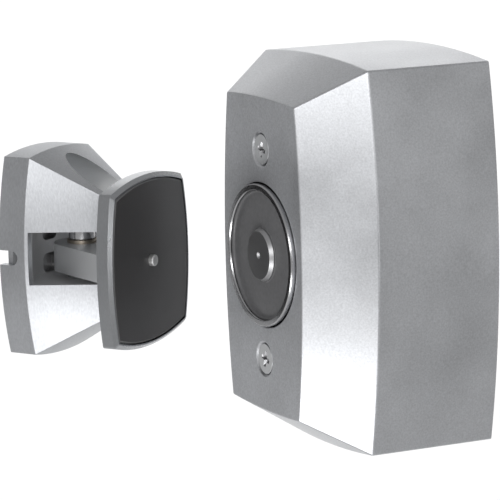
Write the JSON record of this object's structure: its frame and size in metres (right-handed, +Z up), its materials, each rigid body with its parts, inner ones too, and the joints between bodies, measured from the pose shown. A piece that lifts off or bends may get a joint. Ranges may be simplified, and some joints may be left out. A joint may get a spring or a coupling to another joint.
{
  "type": "electromagnetic door holder",
  "caption": "Wall magnet in a faceted aluminium housing, with its door armature: a cast base and a swivelling steel contact plate.",
  "frame": {"origin": "centre of the magnet unit's back, on the wall and on the axis of its cable inlet", "axes": "+Y into the wall, so the magnet faces -Y; +Z up; the armature unit stands beside it, turned 33 degrees from +X towards +Y"},
  "size_m": [0.1308, 0.1676, 0.1552],
  "materials": {
    "satin_aluminium": "satin, fine grained, anodised",
    "cast_aluminium": "satin, brushed facets",
    "carrier_aluminium": "satin",
    "zinc_steel": "zinc plated",
    "nickel_screw": "nickel plated",
    "magnet_steel": "fine turned",
    "pin_steel": "polished",
    "stud_steel": "turned",
    "spring_steel": "drawn wire",
    "black_steel": "blackened, satin",
    "bronze": "sintered bronze",
    "brass": "turned brass",
    "copper_wire": "enamelled copper",
    "potting_resin": "cast resin",
    "bobbin_plastic": "moulded nylon",
    "terminal_plastic": "moulded",
    "rubber": "moulded rubber",
    "lead_red": "insulated wire",
    "lead_black": "insulated wire"
  },
  "bodies": {
    "holder": {"housing": "satin_aluminium", "wall_plate": "zinc_steel", "cable_grommet": "rubber", "post_upper": "zinc_steel", "post_lower": "zinc_steel", "cover_screw_upper": "nickel_screw", "cover_screw_lower": "nickel_screw", "magnet_bracket": "zinc_steel", "bracket_screw_upper": "zinc_steel", "bracket_screw_lower": "zinc_steel", "magnet_cup": "magnet_steel", "magnet_core": "magnet_steel", "coil_bobbin": "bobbin_plastic", "coil_winding": "copper_wire", "potting_ring": "potting_resin", "lock_washer": "zinc_steel", "magnet_bolt": "zinc_steel", "terminal_block": "terminal_plastic", "terminal_screw_left": "brass", "terminal_screw_right": "brass", "block_screw": "zinc_steel", "lead_left": "lead_red", "lead_right": "lead_black", "armature_base": "cast_aluminium", "pivot_pin": "pin_steel", "upper_sleeve": "pin_steel", "lower_spacer": "pin_steel"},
    "contact_plate": {"contact_carrier": "carrier_aluminium", "armature_plate": "black_steel", "plate_cushion": "rubber", "plate_screw_upper": "zinc_steel", "plate_screw_lower": "zinc_steel", "upper_bush": "bronze", "lower_bush": "bronze", "release_spring": "spring_steel"},
    "release_pin": {"release_pin": "stud_steel"}
  },
  "joints": [
    {"name": "plate_swivel", "type": "hinge", "parent": "holder", "child": "contact_plate", "pos_m": [-0.04837, -0.13369, -0.002], "axis": [0, 0, 1], "range_deg": [-53, 45]},
    {"name": "release_pin_travel", "type": "slide", "parent": "contact_plate", "child": "release_pin", "axis": [-0.7976, -0.6032, 0], "range_m": [0, 0.002], "stiffness_N_per_m": 600, "springref_m": -0.004, "deforming": ["release_spring"]}
  ]
}
